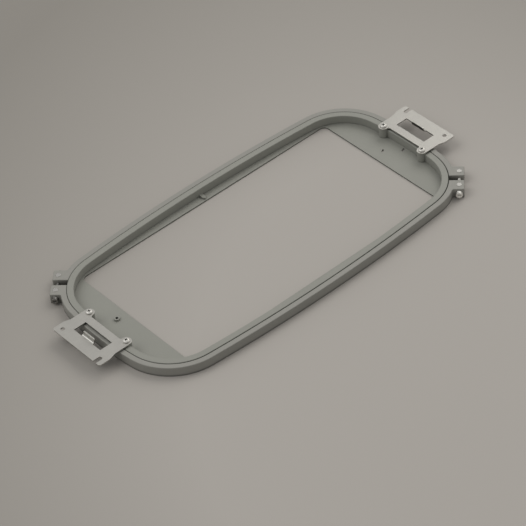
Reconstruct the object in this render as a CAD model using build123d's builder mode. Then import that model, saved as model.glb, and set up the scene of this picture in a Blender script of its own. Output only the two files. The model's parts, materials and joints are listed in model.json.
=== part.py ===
from build123d import *
from math import atan2, degrees, hypot, sqrt
import os

os.makedirs("parts", exist_ok=True)

# Outline of the hoop from above: long sides and ends are slightly bowed arcs
hoop_half_length = 236.5
hoop_half_width = 120.3
corner_radius = 69.7
side_bow_radius = 2150.0
end_bow_radius = 425.0

# Outer and inner ring
ring_height = 12.4
outer_wall = 6.6
inner_wall = 7.7
ring_clearance = 0.6
# The loose inner frame lies a little towards the rear long side
inner_seat_shift = 0.3
ring_edge_break = 0.5
cut_overrun = 5.0
pick_reach = 0.05

# Window, end plates and ledges of the inner frame
end_plate_width = 37.5
ledge_width = 10.2
window_corner_radius = 7.0
plate_thickness = 1.5
centre_mark_width = 4.5
centre_mark_height = 2.4
centre_mark_setback = 1.2
centre_mark_nose = 3.0

# Raised eye on the left end plate, two slits in the right one
eye_setback = 13.8
eye_y = 14.7
eye_radius = 3.4
eye_height = 2.2
eye_hole_radius = 1.7
slit_length = 5.0
slit_width = 2.2
slit_angle = 30
near_slit_setback = 15.5
near_slit_y = 11.5
far_slit_setback = 33.3
far_slit_y = -4.4

# Clamps at the front right and rear left corner
clamp_gap = 8.0
clamp_shift_right = 1.5
clamp_shift_left = 4.4
clamp_axis_reach = 4.9
lug_length = 16.1
lug_reach = 5.8
lug_corner_cut = 0.8
lug_root_radius = 2.0
barrel_radius = 3.0
barrel_clearance = 0.05
barrel_floor = 1.2
barrel_stand = 0.3

# Clamp screws, size M4 with 0.7 mm pitch
clamp_shank_radius = 2.0
clamp_thread_clearance = 0.05
clamp_passage_clearance = 0.3
clamp_head_radius = 3.9
clamp_head_length = 4.4
clamp_head_edge = 0.4
clamp_hex_across_flats = 3.0
clamp_hex_depth = 2.2
clamp_tip_reach = 5.0
head_seat_gap = 0.1

# Sheet-metal brackets, with lengths along X from the line of the ears outwards
bracket_thickness = 1.5
bracket_stand_off = 1.5
# Each bracket sits this much off the middle of its end, the two turned alike
bracket_shift = 0.9
neck_setback = 2.7
window_setback = 12.2
bracket_window_length = 16.4
bracket_window_half_width = 22.8
wing_setback = 20.2
wing_slope_length = 9.0
wing_length = 15.1
wing_margin = 8.6
wing_root_radius = 5.0
wing_corner_radius = 3.0
ear_inset = 1.3
ear_y = 32.1
ear_radius = 6.1
ear_root_radius = 2.5
locator_margin = 7.8
locator_y = 32.3
locator_radius = 2.5

# Tab bent up from the outer edge of the bracket window
tab_width = 19.2
tab_height = 5.2
tab_bend_radius = 2.7
tab_corner_radius = 2.0

# Bracket screws, pan head M4, in brass inserts in the bosses
boss_radius = 5.7
bracket_screw_radius = 1.95
bracket_screw_length = 9.0
ear_hole_clearance = 0.25
pan_head_radius = 3.8
pan_head_height = 2.5
cross_length = 4.2
cross_width = 1.1
cross_depth = 1.3
insert_wall = 0.9
insert_length = 9.0
insert_bore_clearance = 0.05
insert_seat_clearance = 0.03

inner_outside = outer_wall + ring_clearance
inner_inside = inner_outside + inner_wall
window_half_length = hoop_half_length - inner_inside - end_plate_width
window_half_width = hoop_half_width - inner_inside - ledge_width
eye_x = -window_half_length - eye_setback
slit_places = [
    (window_half_length + near_slit_setback, near_slit_y),
    (window_half_length + far_slit_setback, far_slit_y),
]
ear_x = hoop_half_length - inner_inside - ear_inset
bracket_inner_edge = ear_x + neck_setback
bracket_window_inner = ear_x + window_setback
bracket_window_outer = bracket_window_inner + bracket_window_length
wing_start = ear_x + wing_setback
wing_full = wing_start + wing_slope_length
bracket_outer_edge = wing_full + wing_length
wing_half_width = locator_y + wing_margin
locator_x = bracket_outer_edge - locator_margin
bracket_bottom = ring_height + bracket_stand_off
bracket_top = bracket_bottom + bracket_thickness
lug_far = clamp_gap / 2 + lug_length
screw_level = ring_height / 2


def corner_centre():
    """Centre of a corner arc that runs smoothly into the bowed long side and the bowed end."""
    side_y = hoop_half_width - side_bow_radius
    end_x = hoop_half_length - end_bow_radius
    to_side = side_bow_radius - corner_radius
    to_end = end_bow_radius - corner_radius
    apart = hypot(end_x, side_y)
    along = (to_side**2 - to_end**2 + apart**2) / (2 * apart)
    across = sqrt(to_side**2 - along**2)
    step_x = end_x / apart
    step_y = -side_y / apart
    return along * step_x + across * step_y, side_y + along * step_y - across * step_x


corner_x, corner_y = corner_centre()
end_turn = degrees(atan2(corner_y, corner_x - hoop_half_length + end_bow_radius))
side_turn = degrees(atan2(corner_y - hoop_half_width + side_bow_radius, corner_x))


def hoop_face(inset):
    """Region inside the hoop's outline, drawn in by the same inset all round."""
    with BuildSketch() as region:
        with BuildLine():
            CenterArc((hoop_half_length - end_bow_radius, 0), end_bow_radius - inset, 0, end_turn)
            CenterArc((corner_x, corner_y), corner_radius - inset, end_turn, side_turn - end_turn)
            CenterArc((0, hoop_half_width - side_bow_radius), side_bow_radius - inset, side_turn, 90 - side_turn)
            mirror(about=Plane.YZ)
            mirror(about=Plane.XZ)
        make_face()
    return region.sketch


def clamp_shift(side):
    """How far the middle of a clamp gap lies past the middle of its corner, towards the rear half."""
    return clamp_shift_right if side > 0 else clamp_shift_left


def clamp_plane(side, height=0.0):
    """Plane at a clamp: x towards the front right, y along the screw from the front to the rear half."""
    outward = Vector(side, -side, 0).normalized()
    forward = Vector(1, 1, 0).normalized()
    corner = Vector(side * corner_x, -side * corner_y, height)
    origin = corner + outward * (corner_radius + clamp_axis_reach) + forward * clamp_shift(side)
    return Plane(origin=origin, x_dir=(1, -1, 0), z_dir=(0, 0, 1))


def screw_plane(side, distance):
    """Plane square to a clamp screw, at a distance along it from the middle of the clamp gap."""
    middle = clamp_plane(side, screw_level)
    return Plane(origin=middle.origin + middle.y_dir * distance, x_dir=middle.x_dir, z_dir=middle.y_dir)


def lug_face(side, towards):
    """Rectangle of one clamp lug, from its outer side in through the whole ring wall."""
    lug_width = lug_reach + clamp_axis_reach + outer_wall
    with BuildSketch(clamp_plane(side)) as lug:
        with Locations((side * (lug_reach - lug_width / 2), towards * (clamp_gap + lug_length) / 2)):
            Rectangle(lug_width, lug_length)
    return lug.sketch


def half_region(towards):
    """Ground covered by one L-shaped half of the outer ring, up to the two clamp gaps."""
    right = clamp_plane(1)
    left = clamp_plane(-1)
    face = towards * clamp_gap / 2
    beyond = 2 * hoop_half_length
    corners = [
        right.from_local_coords((hoop_half_length, face)),
        right.from_local_coords((-corner_radius, face)),
        left.from_local_coords((corner_radius, face)),
        left.from_local_coords((-hoop_half_length, face)),
        (towards * beyond, towards * beyond),
    ]
    with BuildSketch() as region:
        with BuildLine():
            Polyline(*[(Vector(corner).X, Vector(corner).Y) for corner in corners], close=True)
        make_face()
    return region.sketch


def lug_uprights(half, side, wanted):
    """Upright edges near a clamp whose side and place, outwards and along the screw, pass a test."""
    plane = clamp_plane(side)
    chosen = ShapeList()
    for edge in half.edges().filter_by(Axis.Z):
        place = plane.to_local_coords(edge.center())
        near = hypot(place.X, place.Y) < 1.5 * lug_far
        if near and wanted(side, side * place.X, place.Y):
            chosen.append(edge)
    return chosen


def at_root(side, outwards, along):
    """True on the corner arc, where the back of a lug meets the ring."""
    from_corner = hypot(outwards + clamp_axis_reach + corner_radius, along + clamp_shift(side))
    return abs(from_corner - corner_radius) < pick_reach


def at_lug_end(side, outwards, along):
    """True on the outer side of a lug."""
    return abs(outwards - lug_reach) < pick_reach


def outer_half(towards):
    """One L-shaped half of the outer ring with a lug at each end, bored for the screws and barrels."""
    with BuildPart() as half:
        with BuildSketch():
            add(hoop_face(0))
            add(lug_face(1, towards))
            add(lug_face(-1, towards))
            add(hoop_face(outer_wall), mode=Mode.SUBTRACT)
            add(half_region(towards), mode=Mode.INTERSECT)
        extrude(amount=ring_height)
        for side in (1, -1):
            fillet(lug_uprights(half, side, at_root), lug_root_radius)
            chamfer(lug_uprights(half, side, at_lug_end), lug_corner_cut)
        chamfer(half.edges().group_by(Axis.Z)[-1], ring_edge_break)
        for side in (1, -1):
            with BuildSketch(screw_plane(side, 0)):
                Circle(clamp_shank_radius + clamp_passage_clearance)
            extrude(amount=towards * (lug_far + cut_overrun), mode=Mode.SUBTRACT)
            with BuildSketch(clamp_plane(side, barrel_floor)):
                with Locations((0, towards * (clamp_gap + lug_length) / 2)):
                    Circle(barrel_radius + barrel_clearance)
            extrude(amount=ring_height, mode=Mode.SUBTRACT)
    return half


outer_frame_front = outer_half(-1)
outer_frame_rear = outer_half(1)


def cross_barrel(side, towards, bore_radius):
    """Upright metal barrel in a lug, with the screw's bore across it."""
    middle = clamp_plane(side, barrel_floor)
    place = middle.from_local_coords((0, towards * (clamp_gap + lug_length) / 2))
    barrel_length = ring_height - barrel_floor + barrel_stand
    with BuildPart() as barrel:
        with BuildSketch(Plane(origin=place, x_dir=middle.x_dir, z_dir=(0, 0, 1))):
            Circle(barrel_radius)
        extrude(amount=barrel_length)
        with BuildSketch(screw_plane(side, 0)):
            Circle(bore_radius)
        extrude(amount=towards * (lug_far + cut_overrun), mode=Mode.SUBTRACT)
    return barrel


clamp_barrel_left = cross_barrel(-1, -1, clamp_shank_radius + clamp_passage_clearance)
clamp_barrel_right = cross_barrel(1, -1, clamp_shank_radius + clamp_passage_clearance)
clamp_nut_left = cross_barrel(-1, 1, clamp_shank_radius + clamp_thread_clearance)
clamp_nut_right = cross_barrel(1, 1, clamp_shank_radius + clamp_thread_clearance)


def clamp_screw(side):
    """Cap screw with a hexagon socket, its head against the front lug and its tip past the rear one."""
    head_seat = -lug_far - head_seat_gap
    with BuildPart() as screw:
        with BuildSketch(screw_plane(side, head_seat)):
            Circle(clamp_shank_radius)
        extrude(amount=lug_far + clamp_tip_reach - head_seat)
        with BuildSketch(screw_plane(side, head_seat)):
            Circle(clamp_head_radius)
        extrude(amount=-clamp_head_length)
        chamfer(screw.faces().sort_by(Axis(screw_plane(side, 0).origin, (1, 1, 0)))[0].edges(), clamp_head_edge)
        with BuildSketch(screw_plane(side, head_seat - clamp_head_length)):
            RegularPolygon(clamp_hex_across_flats / 2, 6, major_radius=False)
        extrude(amount=clamp_hex_depth, mode=Mode.SUBTRACT)
    return screw


clamp_screw_left = clamp_screw(-1)
clamp_screw_right = clamp_screw(1)


def seat_plane(height):
    """Level plane in the middle of the inner frame."""
    return Plane(origin=(0, inner_seat_shift, height))


def bracket_plane(side, height):
    """Level plane on the middle line of one bracket, with x outwards along the hoop."""
    middle = (0, inner_seat_shift - side * bracket_shift, height)
    return Plane(origin=middle, x_dir=(side, 0, 0), z_dir=(0, 0, 1))


insert_half_flat = bracket_screw_radius + insert_bore_clearance + insert_wall
wall_foot = hoop_half_width - inner_inside
mark_tip = window_half_width + centre_mark_setback

with BuildPart() as inner_frame:
    with BuildSketch(seat_plane(0)):
        add(hoop_face(inner_outside))
    extrude(amount=ring_height)
    with BuildSketch(seat_plane(plate_thickness)):
        add(hoop_face(inner_inside))
    extrude(amount=ring_height, mode=Mode.SUBTRACT)
    chamfer(inner_frame.edges().group_by(Axis.Z)[-1], ring_edge_break)
    # Bosses for the bracket screws, the raised eye and the centre marks
    for side in (1, -1):
        with BuildSketch(bracket_plane(side, 0)):
            with Locations((ear_x, ear_y), (ear_x, -ear_y)):
                Circle(boss_radius)
        extrude(amount=bracket_bottom)
    with BuildSketch(seat_plane(plate_thickness)):
        with Locations((eye_x, eye_y)):
            Circle(eye_radius)
    extrude(amount=eye_height)
    with BuildSketch(seat_plane(plate_thickness)):
        with BuildLine():
            Polyline(
                (-centre_mark_width / 2, wall_foot),
                (-centre_mark_width / 2, mark_tip + centre_mark_nose),
                (0, mark_tip),
                (centre_mark_width / 2, mark_tip + centre_mark_nose),
                (centre_mark_width / 2, wall_foot),
                close=True,
            )
        make_face()
        mirror(about=Plane.XZ)
    extrude(amount=centre_mark_height)
    # Window, small holes and the pockets for the inserts
    with BuildSketch(seat_plane(0)):
        RectangleRounded(2 * window_half_length, 2 * window_half_width, window_corner_radius)
        with Locations((eye_x, eye_y)):
            Circle(eye_hole_radius)
        with Locations(*slit_places):
            Rectangle(slit_length, slit_width, rotation=slit_angle)
    extrude(amount=ring_height, mode=Mode.SUBTRACT)
    for side in (1, -1):
        with BuildSketch(bracket_plane(side, bracket_bottom)):
            with Locations((ear_x, ear_y), (ear_x, -ear_y)):
                RegularPolygon(insert_half_flat + insert_seat_clearance, 6, major_radius=False)
        extrude(amount=-insert_length, mode=Mode.SUBTRACT)


def bracket(side):
    """Flat bracket with two ears, a window, a round hole, an open slot and a bent-up tab."""
    half_width = ear_y + ear_radius
    roundings = [
        (bracket_inner_edge, ear_root_radius),
        (wing_start, wing_root_radius),
        (wing_full, wing_root_radius),
        (bracket_outer_edge, wing_corner_radius),
    ]
    with BuildPart() as sheet:
        with BuildSketch(bracket_plane(side, bracket_bottom)) as outline:
            with BuildLine():
                Polyline(
                    (ear_x, ear_y),
                    (ear_x, half_width),
                    (wing_start, half_width),
                    (wing_full, wing_half_width),
                    (bracket_outer_edge, wing_half_width),
                    (bracket_outer_edge, -wing_half_width),
                    (wing_full, -wing_half_width),
                    (wing_start, -half_width),
                    (ear_x, -half_width),
                    (ear_x, -ear_y),
                    (bracket_inner_edge, -ear_y),
                    (bracket_inner_edge, ear_y),
                    close=True,
                )
            make_face()
            with Locations((ear_x, ear_y), (ear_x, -ear_y)):
                Circle(ear_radius)
            for place, radius in roundings:
                fillet(outline.vertices().filter_by(lambda point: abs(point.X - place) < pick_reach), radius)
            with Locations((ear_x, ear_y), (ear_x, -ear_y)):
                Circle(bracket_screw_radius + ear_hole_clearance, mode=Mode.SUBTRACT)
            with Locations(((bracket_window_inner + bracket_window_outer) / 2, 0)):
                Rectangle(
                    bracket_window_outer - bracket_window_inner,
                    2 * bracket_window_half_width,
                    mode=Mode.SUBTRACT,
                )
            with Locations((locator_x, locator_y), (locator_x, -locator_y)):
                Circle(locator_radius, mode=Mode.SUBTRACT)
            with Locations(((locator_x + bracket_outer_edge) / 2, locator_y)):
                Rectangle(bracket_outer_edge - locator_x, 2 * locator_radius, mode=Mode.SUBTRACT)
        extrude(amount=bracket_thickness)
        # Tab bent up from the outer edge of the window
        level = bracket_plane(side, bracket_bottom)
        bend_outside = tab_bend_radius + bracket_thickness
        with BuildSketch(Plane(origin=level.origin, x_dir=level.x_dir, z_dir=-level.y_dir)):
            with BuildLine():
                Line((bracket_window_outer + bracket_thickness, 0), (bracket_window_outer, 0))
                CenterArc((bracket_window_outer, bend_outside), bend_outside, 270, -90)
                Polyline(
                    (bracket_window_outer - bend_outside, bend_outside),
                    (bracket_window_outer - bend_outside, bracket_thickness + tab_height),
                    (bracket_window_outer - tab_bend_radius, bracket_thickness + tab_height),
                    (bracket_window_outer - tab_bend_radius, bend_outside),
                )
                CenterArc((bracket_window_outer, bend_outside), tab_bend_radius, 180, 90)
                Polyline(
                    (bracket_window_outer, bracket_thickness),
                    (bracket_window_outer + bracket_thickness, bracket_thickness),
                    (bracket_window_outer + bracket_thickness, 0),
                )
            make_face()
        extrude(amount=tab_width / 2, both=True)
        tab_tips = sheet.edges().filter_by(Axis.X).group_by(Axis.Z)[-1]
        fillet(tab_tips, tab_corner_radius)
    return sheet


def ear_plane(end, row, height):
    """Level plane on the screw axis of one bracket ear: end is left or right, row is front or rear."""
    return Plane(origin=bracket_plane(end, height).from_local_coords((ear_x, end * row * ear_y)))


def bracket_screw(end, row):
    """Pan-head screw with a cross recess, through an ear into its insert."""
    with BuildPart() as screw:
        with BuildSketch(ear_plane(end, row, bracket_top)):
            Circle(pan_head_radius)
        extrude(amount=pan_head_height)
        with BuildSketch(ear_plane(end, row, bracket_top)):
            Circle(bracket_screw_radius)
        extrude(amount=-bracket_screw_length)
        with BuildSketch(ear_plane(end, row, bracket_top + pan_head_height)):
            Rectangle(cross_length, cross_width)
            Rectangle(cross_width, cross_length)
        extrude(amount=-cross_depth, mode=Mode.SUBTRACT)
    return screw


def insert(end, row):
    """Threaded hexagon sleeve moulded into a boss, level with its top."""
    with BuildPart() as sleeve:
        with BuildSketch(ear_plane(end, row, bracket_bottom)):
            RegularPolygon(insert_half_flat, 6, major_radius=False)
            Circle(bracket_screw_radius + insert_bore_clearance, mode=Mode.SUBTRACT)
        extrude(amount=-insert_length)
    return sleeve


pieces = {
    "outer_frame_front": outer_frame_front,
    "outer_frame_rear": outer_frame_rear,
    "inner_frame": inner_frame,
    "clamp_barrel_left": clamp_barrel_left,
    "clamp_barrel_right": clamp_barrel_right,
    "clamp_nut_left": clamp_nut_left,
    "clamp_nut_right": clamp_nut_right,
    "clamp_screw_left": clamp_screw_left,
    "clamp_screw_right": clamp_screw_right,
    "bracket_left": bracket(-1),
    "bracket_right": bracket(1),
}

for end, end_name in ((-1, "left"), (1, "right")):
    for row, row_name in ((-1, "front"), (1, "rear")):
        pieces[f"bracket_screw_{end_name}_{row_name}"] = bracket_screw(end, row)
        pieces[f"insert_{end_name}_{row_name}"] = insert(end, row)

for name, piece in pieces.items():
    piece.part.label = name
    export_step(piece.part, f"parts/{name}.step")
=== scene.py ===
import json
from math import cos, pi, radians, sin, tau
import bmesh
import bpy
from mathutils import Matrix, Vector


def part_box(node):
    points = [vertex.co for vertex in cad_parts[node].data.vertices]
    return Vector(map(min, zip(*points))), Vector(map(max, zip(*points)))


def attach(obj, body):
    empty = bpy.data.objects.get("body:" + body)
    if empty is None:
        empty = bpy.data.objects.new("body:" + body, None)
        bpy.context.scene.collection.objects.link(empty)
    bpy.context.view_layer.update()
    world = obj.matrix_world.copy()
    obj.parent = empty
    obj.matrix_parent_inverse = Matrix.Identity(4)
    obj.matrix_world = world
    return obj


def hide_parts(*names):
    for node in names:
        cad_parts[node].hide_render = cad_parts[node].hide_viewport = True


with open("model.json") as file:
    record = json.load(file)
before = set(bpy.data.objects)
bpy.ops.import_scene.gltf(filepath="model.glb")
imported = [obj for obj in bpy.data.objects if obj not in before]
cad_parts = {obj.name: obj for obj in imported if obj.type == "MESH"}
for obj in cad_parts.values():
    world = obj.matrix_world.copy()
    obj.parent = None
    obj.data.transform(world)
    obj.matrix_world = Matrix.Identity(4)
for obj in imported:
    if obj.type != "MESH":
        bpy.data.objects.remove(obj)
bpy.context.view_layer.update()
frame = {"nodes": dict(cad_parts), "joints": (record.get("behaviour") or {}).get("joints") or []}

nodes = frame["nodes"]
joints = {joint["name"]: joint for joint in frame["joints"]}

MM = 0.001
UP = (0, 0, 1)
DOWN = (0, 0, -1)

# Colours
RING = (0.287, 0.284, 0.260)
INNER = (0.280, 0.283, 0.254)
SHEET = (0.494, 0.485, 0.457)
STEEL = (0.62, 0.61, 0.58)
BRIGHT = (0.64, 0.63, 0.605)
BRASS = (0.66, 0.47, 0.20)
# Floor colours at and away from a painted pool of light
FLOOR_NEAR = (0.434, 0.412, 0.386, 1)
FLOOR_FAR = (0.276, 0.262, 0.240, 1)

# Masks and marks in the materials
EDGE_SAMPLES = 4
EDGE_FLAT, EDGE_SHARP = 0.995, 0.90
CREVICE_SAMPLES = 8
CREVICE_DEEP, CREVICE_OPEN = 0.1, 0.54
# Painted shade on the plastic: darker at the foot of upright faces and in narrow places
SHADE_FOOT_HEIGHT = 3.2 * MM
SHADE_CREVICE_REACH = 14 * MM
ROLLED = radians(90)
ABOVE_SHEET = 15.5 * MM  # just over the sheet's top, so that only the tab is higher
LATHE_WAVES = 26000.0  # radians for a metre of radius, which is a ring each 0.24 mm

# Clamp screws, M4
THREAD_RADIUS = 2.0 * MM
THREAD_PITCH = 0.7 * MM
THREAD_DEPTH = 0.38 * MM
THREAD_RINGS = 8  # for each turn
RUN_IN_TURNS = 1.5
CREST, FLANK = 0.12, 0.76  # shares of half a pitch
PLAIN_LENGTH = 13.0 * MM
SOCKET_RADIUS = 1.5 * MM  # to the middle of a flat
SOCKET_DEPTH = 2.2 * MM
KNURLS, KNURL_DEPTH = 36, 0.03
CLAMP_POINTS = 72

# Bracket screws, M4 pan heads with a cross recess; the recess is in millimetres
PAN_SHANK = 1.95 * MM
PAN_HEIGHT = 2.5 * MM
PAN_RIM = 1.1 * MM
PAN_DOME = 3.2
PAN_POINTS, PAN_RINGS = 128, 40
WING_WIDE, WING_INSIDE, WING_OUTSIDE = 0.46, 0.10, 0.12
WING_FULL, WING_END = 1.75, 2.15
RECESS_DEEP, RECESS_SLOPE = 1.75, 0.33
MIDDLE_DEEP, MIDDLE_FULL, MIDDLE_END = 1.7, 0.95, 1.45
# Depth from which the cross recess's faces get the painted shade
RECESS_SHADE_DEPTH = 0.15 * MM
PAN_TURNS = {
    "bracket_screw_left_front": 20,
    "bracket_screw_left_rear": 66,
    "bracket_screw_right_front": 8,
    "bracket_screw_right_rear": 41,
}

# Stage
FLOOR_HALF = 4.0
FLOOR_LEVEL = -0.1 * MM
# Centre of the floor's painted pool of light
FLOOR_LIGHT_POOL = (-0.02, -0.29, 0.0)
FLOOR_STRETCH = 1.5
FLOOR_FADE = (0.25, 0.62)
LAMP_WIDTH, LAMP_HEIGHT = 4.0, 3.6
ROOM_COLOUR = (1.0, 0.99, 0.97, 1)
ROOM_BRIGHT = (0.52, 0.66, 0.54)
ROOM_SPAN = (-0.7, 1.0)
ROOM_STRENGTH = (0.36, 0.62)

# Camera at the photograph's place
azimuth, elevation, roll = radians(-37.701), radians(42.112), radians(-5.742)
AIM = Vector((-0.025374, -0.030897, 0))
DISTANCE = 2.688516
SENSOR, LENS = 36, 165.33
CLIP_START, CLIP_END = 0.1, 20


# Helpers
def add_object(name, data):
    """Puts a mesh, a lamp or a camera into the scene."""
    thing = bpy.data.objects.new(name, data)
    bpy.context.scene.collection.objects.link(thing)
    return thing


def map_range(tree, *numbers):
    """Node that maps a range, from low to high, to another one, clamped."""
    node = tree.nodes.new("ShaderNodeMapRange")
    for socket, number in zip(("From Min", "From Max", "To Min", "To Max"), numbers):
        node.inputs[socket].default_value = number
    return node


class Nodes:
    """A material's node tree, with short calls for the nodes used here."""

    def __init__(self, name):
        self.material = bpy.data.materials.new(name)
        self.material.use_nodes = True
        self.tree = self.material.node_tree
        self.tree.nodes.clear()
        output = self.tree.nodes.new("ShaderNodeOutputMaterial")
        self.shader = self.tree.nodes.new("ShaderNodeBsdfPrincipled")
        self.link(self.shader.outputs["BSDF"], output.inputs["Surface"])

    def link(self, source, target):
        self.tree.links.new(source, target)

    def put(self, socket, value):
        """Links an output to a socket, or sets the socket's own value."""
        if isinstance(value, bpy.types.NodeSocket):
            self.link(value, socket)
        elif value is not None:
            socket.default_value = value

    def place(self, scale=(1, 1, 1), shift=(0, 0, 0), turn=(0, 0, 0), kind="POINT"):
        """Object coordinates, in metres, moved, turned and scaled."""
        source = self.tree.nodes.new("ShaderNodeTexCoord")
        mapping = self.tree.nodes.new("ShaderNodeMapping")
        mapping.vector_type = kind
        mapping.inputs["Location"].default_value = shift
        mapping.inputs["Rotation"].default_value = turn
        mapping.inputs["Scale"].default_value = scale
        self.link(source.outputs["Object"], mapping.inputs["Vector"])
        return mapping.outputs["Vector"]

    def noise(self, scale, detail=3.0, rough=0.55, where=None):
        node = self.tree.nodes.new("ShaderNodeTexNoise")
        node.inputs["Scale"].default_value = scale
        node.inputs["Detail"].default_value = detail
        node.inputs["Roughness"].default_value = rough
        self.link(where if where is not None else self.place(), node.inputs["Vector"])
        return node.outputs["Fac"]

    def spread(self, value, low, high, to_low=0.0, to_high=1.0):
        """Maps a value's range low..high to another range, clamped."""
        node = map_range(self.tree, low, high, to_low, to_high)
        self.link(value, node.inputs["Value"])
        return node.outputs["Result"]

    def rescale(self, value, at_zero, at_one):
        """Maps a value that runs from 0 to 1 to another range."""
        return self.spread(value, 0.0, 1.0, at_zero, at_one)

    def mix(self, factor, one, two):
        node = self.tree.nodes.new("ShaderNodeMix")
        node.data_type = "RGBA"
        self.put(node.inputs["Factor"], factor)
        self.put(node.inputs[6], one)
        self.put(node.inputs[7], two)
        return node.outputs[2]

    def math(self, operation, *values):
        node = self.tree.nodes.new("ShaderNodeMath")
        node.operation = operation
        for socket, value in zip(node.inputs, values):
            self.put(socket, value)
        return node.outputs[0]

    def vector(self, operation, one, two=None):
        node = self.tree.nodes.new("ShaderNodeVectorMath")
        node.operation = operation
        self.put(node.inputs[0], one)
        self.put(node.inputs[1], two)
        return node.outputs["Value"]

    def soft_edges(self, radius):
        """Surface normal with the edges rounded off."""
        node = self.tree.nodes.new("ShaderNodeBevel")
        node.samples = EDGE_SAMPLES
        node.inputs["Radius"].default_value = radius
        return node.outputs["Normal"]

    def facing(self, direction):
        """How far a face looks in a direction, from -1 to 1."""
        geometry = self.tree.nodes.new("ShaderNodeNewGeometry")
        return self.vector("DOT_PRODUCT", geometry.outputs["Normal"], direction)

    def edge_mask(self, rounded):
        """One on edges, zero on flat faces."""
        return self.spread(self.facing(rounded), EDGE_FLAT, EDGE_SHARP)

    def level(self):
        """Height in the object's own frame."""
        node = self.tree.nodes.new("ShaderNodeSeparateXYZ")
        self.link(self.place(), node.inputs[0])
        return node.outputs["Z"]

    def foot(self, height):
        """Nearly one at the foot of upright faces, fading to zero at a height; zero on level faces."""
        upright = self.spread(self.facing(UP), 0.3, 0.7, 1.0, 0.0)
        return self.math("MULTIPLY", upright, self.spread(self.level(), 0.0, height, 0.95, 0.0))

    def crevice(self, reach):
        """One deep in narrow places, zero on open faces."""
        node = self.tree.nodes.new("ShaderNodeAmbientOcclusion")
        node.samples = CREVICE_SAMPLES
        node.inputs["Distance"].default_value = reach
        return self.spread(node.outputs["AO"], CREVICE_DEEP, CREVICE_OPEN, 1.0, 0.0)

    def bump(self, height, distance, strength, normal=None):
        node = self.tree.nodes.new("ShaderNodeBump")
        node.inputs["Distance"].default_value = distance
        node.inputs["Strength"].default_value = strength
        self.link(height, node.inputs["Height"])
        if normal is not None:
            self.link(normal, node.inputs["Normal"])
        return node.outputs["Normal"]

    def finish(self, colour, roughness, normal, metallic=0.0, specular=0.5):
        self.put(self.shader.inputs["Base Color"], colour)
        self.put(self.shader.inputs["Roughness"], roughness)
        self.put(self.shader.inputs["Normal"], normal)
        self.shader.inputs["Metallic"].default_value = metallic
        self.shader.inputs["Specular IOR Level"].default_value = specular
        return self.material


def shade(colour, factor):
    return tuple(channel * factor for channel in colour[:3]) + (1.0,)


# Materials
def moulded_plastic(name, colour):
    """Grey moulded plastic: fine eroded grain, faint flow tone, edges lighter in patches from rubbed wear and
    a painted highlight.

    Painted shade darkens the foot of the walls and narrow places.
    """
    m = Nodes(name)
    flow = m.spread(m.noise(9.0, detail=4.0), 0.3, 0.7)
    speckle = m.spread(m.noise(1500.0, detail=2.0), 0.35, 0.65)
    tone = m.mix(flow, shade(colour, 0.955), shade(colour, 1.03))
    tone = m.mix(m.rescale(speckle, 0.0, 0.35), tone, shade(colour, 0.90))
    rounded = m.soft_edges(0.35 * MM)
    # Edges painted lighter in patches: partly rubbed wear, partly a painted highlight
    rub_and_highlight = m.math("MULTIPLY", m.edge_mask(rounded), m.spread(m.noise(60.0), 0.35, 0.75))
    tone = m.mix(m.rescale(rub_and_highlight, 0.0, 0.3), tone, shade(colour, 1.35))
    # Painted shade: darker at the foot of the walls and in narrow places, where shadow falls
    foot_and_crevice_shade = m.math("MAXIMUM", m.foot(SHADE_FOOT_HEIGHT), m.crevice(SHADE_CREVICE_REACH))
    tone = m.mix(m.math("MULTIPLY", foot_and_crevice_shade, 0.9), tone, shade(colour, 0.25))
    rough = m.spread(m.noise(260.0), 0.3, 0.7, 0.40, 0.52)
    grain = m.bump(m.noise(2600.0, detail=2.0, rough=0.6), 0.03 * MM, 0.45, rounded)
    return m.finish(tone, rough, grain, specular=0.45)


def sheet_metal(name, colour, inwards):
    """Satin rolled sheet: fine rolling lines, soft patches, edges painted brighter, and painted shade on the
    lower side.

    The painted shade also covers the tab's inward face, which is bent up above the sheet's top.
    """
    m = Nodes(name)
    rolling = m.place(scale=(60, 2600, 2600), turn=(0, 0, ROLLED))
    lines = m.noise(1.0, detail=4.0, rough=0.7, where=rolling)
    patches = m.spread(m.noise(55.0, detail=4.0), 0.3, 0.7)
    tone = m.mix(m.spread(lines, 0.3, 0.7), shade(colour, 0.93), shade(colour, 1.05))
    tone = m.mix(m.rescale(patches, 0.0, 0.35), tone, shade(colour, 0.93))
    rounded = m.soft_edges(0.25 * MM)
    # Edges painted brighter: partly bright cut edges, partly a painted highlight
    tone = m.mix(m.rescale(m.edge_mask(rounded), 0.0, 0.6), tone, shade(colour, 1.1))
    # Painted shade: the lower side and the tab's inward face are darkened for shadow and dark reflections
    raised = m.spread(m.level(), ABOVE_SHEET, ABOVE_SHEET + 0.4 * MM)
    on_tab = m.math("MULTIPLY", m.spread(m.facing(inwards), 0.3, 0.7), raised)
    underside_shade = m.math("MAXIMUM", on_tab, m.spread(m.facing(DOWN), 0.1, 0.4))
    tone = m.mix(underside_shade, tone, shade(colour, 0.28))
    rough = m.math("ADD", m.spread(lines, 0.25, 0.75, 0.27, 0.35), m.rescale(patches, 0.0, 0.07))
    normal = m.bump(lines, 0.012 * MM, 0.5, rounded)
    return m.finish(tone, rough, normal, metallic=1.0)


def turned_metal(name, colour, centre):
    """Plated turned steel: rings round the upright axis through centre."""
    m = Nodes(name)
    radius = m.vector("LENGTH", m.place(shift=(-centre[0], -centre[1], 0), scale=(1, 1, 0)))
    rings = m.math("SINE", m.math("MULTIPLY", radius, LATHE_WAVES))
    marks = m.spread(m.noise(300.0, detail=2.0), 0.35, 0.7)
    tone = m.mix(m.rescale(marks, 0.0, 0.25), colour, shade(colour, 0.86))
    rounded = m.soft_edges(0.6 * MM)
    normal = m.bump(rings, 0.0015 * MM, 0.4, rounded)
    return m.finish(tone, m.rescale(marks, 0.24, 0.32), normal, metallic=1.0)


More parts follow.
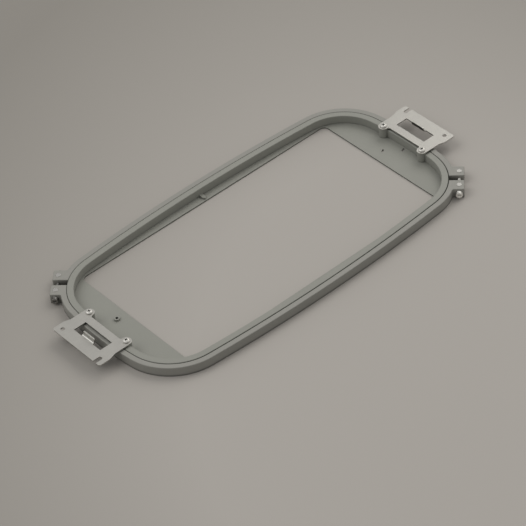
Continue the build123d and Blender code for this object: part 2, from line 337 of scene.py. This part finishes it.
def plated_steel(name, colour, smooth, rough):
    """Zinc-plated screw steel: fine mottling and small handling marks, between two roughnesses."""
    m = Nodes(name)
    mottle = m.spread(m.noise(900.0, detail=4.0), 0.3, 0.7)
    marks = m.spread(m.noise(260.0, detail=5.0, rough=0.7), 0.52, 0.66)
    tone = m.mix(mottle, shade(colour, 0.9), shade(colour, 1.06))
    tone = m.mix(m.rescale(marks, 0.0, 0.4), tone, shade(colour, 0.7))
    normal = m.bump(m.noise(3200.0, detail=2.0), 0.006 * MM, 0.4)
    return m.finish(tone, m.rescale(mottle, smooth, rough), normal, metallic=1.0)


def brass(name, colour):
    m = Nodes(name)
    mottle = m.spread(m.noise(700.0, detail=4.0), 0.3, 0.7)
    tone = m.mix(mottle, shade(colour, 0.82), shade(colour, 1.08))
    normal = m.bump(m.noise(2400.0, detail=2.0), 0.01 * MM, 0.5)
    return m.finish(tone, m.rescale(mottle, 0.25, 0.4), normal, metallic=1.0)


def dress(name, material):
    """Gives a node of the frame its material."""
    mesh = nodes[name].data
    mesh.materials.clear()
    mesh.materials.append(material)


ring_plastic = moulded_plastic("ring_plastic", RING)
dress("outer_frame_front", ring_plastic)
dress("outer_frame_rear", ring_plastic)
dress("inner_frame", moulded_plastic("inner_plastic", INNER))
dress("bracket_left", sheet_metal("sheet_left", SHEET, (1, 0, 0)))
dress("bracket_right", sheet_metal("sheet_right", SHEET, (-1, 0, 0)))
insert_brass = brass("insert_brass", BRASS)
for name in nodes:
    if name.startswith("insert_"):
        dress(name, insert_brass)
    if name.startswith(("clamp_barrel_", "clamp_nut_")):
        low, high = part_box(name)
        dress(name, turned_metal(name + "_steel", shade(BRIGHT, 0.78), (low + high) / 2))
# One kind of screw steel in two copies: the right head painted lighter, the left painted darker, as painted
# light and shade
clamp_head_painted_lit = plated_steel("clamp_head_painted_lit", shade(BRIGHT, 1.35), 0.44, 0.56)
clamp_head_painted_shade = plated_steel("clamp_head_painted_shade", shade(STEEL, 0.4), 0.30, 0.42)
pan_steel = plated_steel("pan_steel", shade(STEEL, 1.12), 0.50, 0.60)
# Dark steel for the cross recesses: painted shade in the hollows
recess_painted_shade = plated_steel("recess_painted_shade", shade(STEEL, 0.25), 0.44, 0.56)


# Screws with their real threads and recesses, in place of the plain ones
def skin(rings, name, material, place):
    """Closed surface through rings of points; the first and the last are single points."""
    mesh = bpy.data.meshes.new(name)
    bm = bmesh.new()
    made = [[bm.verts.new(place @ Vector(point)) for point in ring] for ring in rings]
    for one, two in zip(made, made[1:]):
        count = max(len(one), len(two))
        for k in range(count):
            n = (k + 1) % count
            corners = one[k % len(one)], two[k % len(two)], two[n % len(two)], one[n % len(one)]
            bm.faces.new(tuple(dict.fromkeys(corners)))
    bmesh.ops.recalc_face_normals(bm, faces=bm.faces)
    for face in bm.faces:
        face.smooth = True
    bm.to_mesh(mesh)
    bm.free()
    mesh.materials.append(material)
    return add_object(name, mesh)


def circle(radius, z, count, shape=None):
    """Ring of points, where shape may change the radius by the angle."""
    ring = []
    for k in range(count):
        turn = tau * k / count
        r = shape(turn) * radius if shape else radius
        ring.append((r * cos(turn), r * sin(turn), z))
    return ring


def hexagon(turn):
    """Radius of a hexagon with flats at radius one."""
    return 1 / cos((turn + pi / 6) % (pi / 3) - pi / 6)


def knurl(turn):
    """Radius of a knurled rim, one at the ridges."""
    return 1 - KNURL_DEPTH * (0.5 - 0.5 * cos(KNURLS * turn))


def thread_ring(z, plain_end, length):
    """Ring of points across the helical thread, which runs in after plain_end and is chamfered at the tip."""
    run_in = min(1.0, (z - plain_end) / (RUN_IN_TURNS * THREAD_PITCH))
    tip_limit = THREAD_RADIUS - max(0.0, z - (length - 0.5 * MM))
    ring = []
    for n in range(CLAMP_POINTS):
        turn = tau * n / CLAMP_POINTS
        phase = (z / THREAD_PITCH - turn / tau) % 1.0
        flank = min(1.0, max(0.0, (abs(phase - 0.5) * 2 - CREST) / FLANK))
        radius = min(THREAD_RADIUS - THREAD_DEPTH * flank * run_in, tip_limit)
        ring.append((radius * cos(turn), radius * sin(turn), z))
    return ring


def clamp_screw(node, joint, body, material):
    """M4 cap screw: knurled head, hexagon socket and a real helical thread."""
    axis = Vector(joints[joint]["axis"]).normalized()
    origin = Vector(joints[joint]["pos_m"])
    spots = [vertex.co - origin for vertex in nodes[node].data.vertices]
    reach = [-spot.dot(axis) for spot in spots]
    wide = [(spot - spot.dot(axis) * axis).length for spot in spots]
    start, end = min(reach), max(reach)
    head = max(wide)
    seat = max(r for r, w in zip(reach, wide) if w > 0.9 * head) - start
    length = end - start
    plain_end = seat + PLAIN_LENGTH
    profile = (
        (SOCKET_RADIUS * 0.55, SOCKET_DEPTH + 0.35 * MM, None),
        (SOCKET_RADIUS * 0.97, SOCKET_DEPTH, hexagon),
        (SOCKET_RADIUS, SOCKET_DEPTH - 0.1 * MM, hexagon),
        (SOCKET_RADIUS, 0.15 * MM, hexagon),
        (1.82 * MM, 0.0, None),
        (head - 0.55 * MM, 0.0, None),
        (head - 0.25 * MM, 0.07 * MM, None),
        (head - 0.06 * MM, 0.25 * MM, None),
        (head, 0.5 * MM, None),
        (head, 0.62 * MM, knurl),
        (head, seat - 0.35 * MM, knurl),
        (head, seat - 0.28 * MM, None),
        (head - 0.08 * MM, seat - 0.06 * MM, None),
        (head - 0.2 * MM, seat, None),
        (THREAD_RADIUS + 0.05 * MM, seat, None),
        (THREAD_RADIUS, seat + 0.1 * MM, None),
        (THREAD_RADIUS, plain_end, None),
    )
    rings = [[(0, 0, SOCKET_DEPTH + 0.7 * MM)]]
    rings += [circle(radius, z, CLAMP_POINTS, shape) for radius, z, shape in profile]
    steps = int((length - plain_end) / (THREAD_PITCH / THREAD_RINGS))
    for k in range(1, steps + 1):
        z = plain_end + (length - plain_end) * k / steps
        rings.append(thread_ring(z, plain_end, length))
    rings.append([(0, 0, length)])
    across = axis.cross(UP).normalized()
    turned = Matrix((across, axis.cross(across), -axis)).transposed().to_4x4()
    place = Matrix.Translation(origin - axis * start) @ turned
    piece = skin(rings, node + "_threaded", material, place)
    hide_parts(node)
    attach(piece, body)


# The left head gets the painted shaded copy, the right head the painted lit copy
clamp_screw("clamp_screw_left", "clamp_screw_left_turn", "screw_left", clamp_head_painted_shade)
clamp_screw("clamp_screw_right", "clamp_screw_right_turn", "screw_right", clamp_head_painted_lit)


def step(value, low, high):
    """Smooth step from 0 at low to 1 at high."""
    t = min(1.0, max(0.0, (value - low) / (high - low)))
    return t * t * (3 - 2 * t)


def recess(x, y):
    """Depth of the tapered cross recess at a place on a pan head."""
    x, y = abs(x), abs(y)
    deepest = 0.0
    for along, across in ((x, y), (y, x)):
        wing = 1 - step(across, (WING_WIDE - WING_INSIDE) * MM, (WING_WIDE + WING_OUTSIDE) * MM)
        tip = 1 - step(along, WING_FULL * MM, WING_END * MM)
        deepest = max(deepest, wing * tip * (RECESS_DEEP - RECESS_SLOPE * along / MM) * MM)
    middle = 1 - step(x + y, MIDDLE_FULL * MM, MIDDLE_END * MM)
    return max(deepest, middle * MIDDLE_DEEP * MM)


def pan_screw(node, turned):
    """Pan-head screw with a domed head and a tapered cross recess."""
    low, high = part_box(node)
    centre = (low + high) / 2
    head = (high.x - low.x) / 2
    tip = low.z - high.z + PAN_HEIGHT

    def crown(r):
        return PAN_RIM + (PAN_HEIGHT - PAN_RIM) * (1 - (r / head) ** PAN_DOME)

    rings = [[(0, 0, crown(0) - recess(0, 0))]]
    for k in range(1, PAN_RINGS + 1):
        r = head * k / PAN_RINGS
        flat = circle(r, 0.0, PAN_POINTS)
        rings.append([(x, y, crown(r) - recess(x, y)) for x, y, _ in flat])
    for radius, z in (
        (head, 0.25 * MM),
        (head - 0.12 * MM, 0.0),
        (PAN_SHANK, 0.0),
        (PAN_SHANK, tip + 0.4 * MM),
        (PAN_SHANK - 0.4 * MM, tip),
    ):
        rings.append(circle(radius, z, PAN_POINTS))
    rings.append([(0, 0, tip)])
    seat = Matrix.Translation((centre.x, centre.y, high.z - PAN_HEIGHT))
    place = seat @ Matrix.Rotation(radians(turned), 4, "Z")
    piece = skin(rings, node + "_headed", pan_steel, place)
    # Faces deep in the cross recess get the painted shade material
    piece.data.materials.append(recess_painted_shade)
    to_screw = place.inverted()
    for face in piece.data.polygons:
        spot = to_screw @ face.center
        if spot.z > 0 and recess(spot.x, spot.y) > RECESS_SHADE_DEPTH:
            face.material_index = 1
    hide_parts(node)
    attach(piece, "inner")


for name, turned in PAN_TURNS.items():
    pan_screw(name, turned)


# Floor
def floor_material():
    """Matt pale backdrop paper with a painted pool of light: painted darker away from the front right."""
    m = Nodes("backdrop_paper")
    around = m.place(
        shift=FLOOR_LIGHT_POOL, turn=(0, 0, azimuth), scale=(1, FLOOR_STRETCH, 1), kind="TEXTURE"
    )
    apart = m.vector("LENGTH", around)
    tone = m.mix(m.spread(apart, *FLOOR_FADE), FLOOR_NEAR, FLOOR_FAR)
    fibre = m.spread(m.noise(900.0), 0.3, 0.7)
    tone = m.mix(m.rescale(fibre, 0.0, 0.12), tone, shade(FLOOR_NEAR, 0.85))
    normal = m.bump(m.noise(1800.0, detail=2.0), 0.02 * MM, 0.2)
    return m.finish(tone, m.rescale(fibre, 0.82, 0.92), normal, specular=0.2)


def add_floor():
    mesh = bpy.data.meshes.new("floor")
    corners = ((-1, -1), (1, -1), (1, 1), (-1, 1))
    spots = [(x * FLOOR_HALF, y * FLOOR_HALF, FLOOR_LEVEL) for x, y in corners]
    mesh.from_pydata(spots, [], [(0, 1, 2, 3)])
    mesh.materials.append(floor_material())
    add_object("floor", mesh)


add_floor()


# Light: as the camera sees it, a soft box at the left, another behind at the right, and the room
def soft_box(name, place, power, colour):
    """Wide lamp that looks at the middle of the hoop."""
    lamp = bpy.data.lights.new(name, "AREA")
    lamp.shape = "RECTANGLE"
    lamp.size = LAMP_WIDTH
    lamp.size_y = LAMP_HEIGHT
    lamp.energy = power
    lamp.color = colour
    holder = add_object(name, lamp)
    holder.location = place
    holder.rotation_euler = (-Vector(place)).to_track_quat("-Z", "Y").to_euler()


soft_box("key", (-2.6, 2.0, 4.2), 70.0, (1.0, 0.99, 0.97))
soft_box("fill", (3.75, 0.75, 3.8), 87.0, (1.0, 0.97, 0.92))


def light_room():
    """Room light that grows from the camera's side to the far side and upwards."""
    world = bpy.data.worlds.new("room")
    bpy.context.scene.world = world
    world.use_nodes = True
    tree = world.node_tree
    tree.nodes.clear()
    out = tree.nodes.new("ShaderNodeOutputWorld")
    room = tree.nodes.new("ShaderNodeBackground")
    room.inputs["Color"].default_value = ROOM_COLOUR
    direction = tree.nodes.new("ShaderNodeTexCoord")
    along = tree.nodes.new("ShaderNodeVectorMath")
    along.operation = "DOT_PRODUCT"
    along.inputs[1].default_value = ROOM_BRIGHT
    ramp = map_range(tree, *ROOM_SPAN, *ROOM_STRENGTH)
    tree.links.new(direction.outputs["Generated"], along.inputs[0])
    tree.links.new(along.outputs["Value"], ramp.inputs["Value"])
    tree.links.new(ramp.outputs["Result"], room.inputs["Strength"])
    tree.links.new(room.outputs[0], out.inputs["Surface"])


light_room()


# Camera
def add_camera():
    back = Vector((sin(azimuth) * cos(elevation), -cos(azimuth) * cos(elevation), sin(elevation)))
    right = Vector((cos(azimuth), sin(azimuth), 0))
    up = back.cross(right)
    rolled_right = cos(roll) * right + sin(roll) * up
    rolled_up = -sin(roll) * right + cos(roll) * up
    lens = bpy.data.cameras.new("camera")
    lens.sensor_width = SENSOR
    lens.lens = LENS
    lens.clip_start = CLIP_START
    lens.clip_end = CLIP_END
    camera = add_object("camera", lens)
    turned = Matrix((rolled_right, rolled_up, back)).transposed().to_4x4()
    camera.matrix_world = Matrix.Translation(AIM + back * DISTANCE) @ turned
    bpy.context.scene.camera = camera


add_camera()
bpy.context.scene.view_settings.view_transform = "Standard"
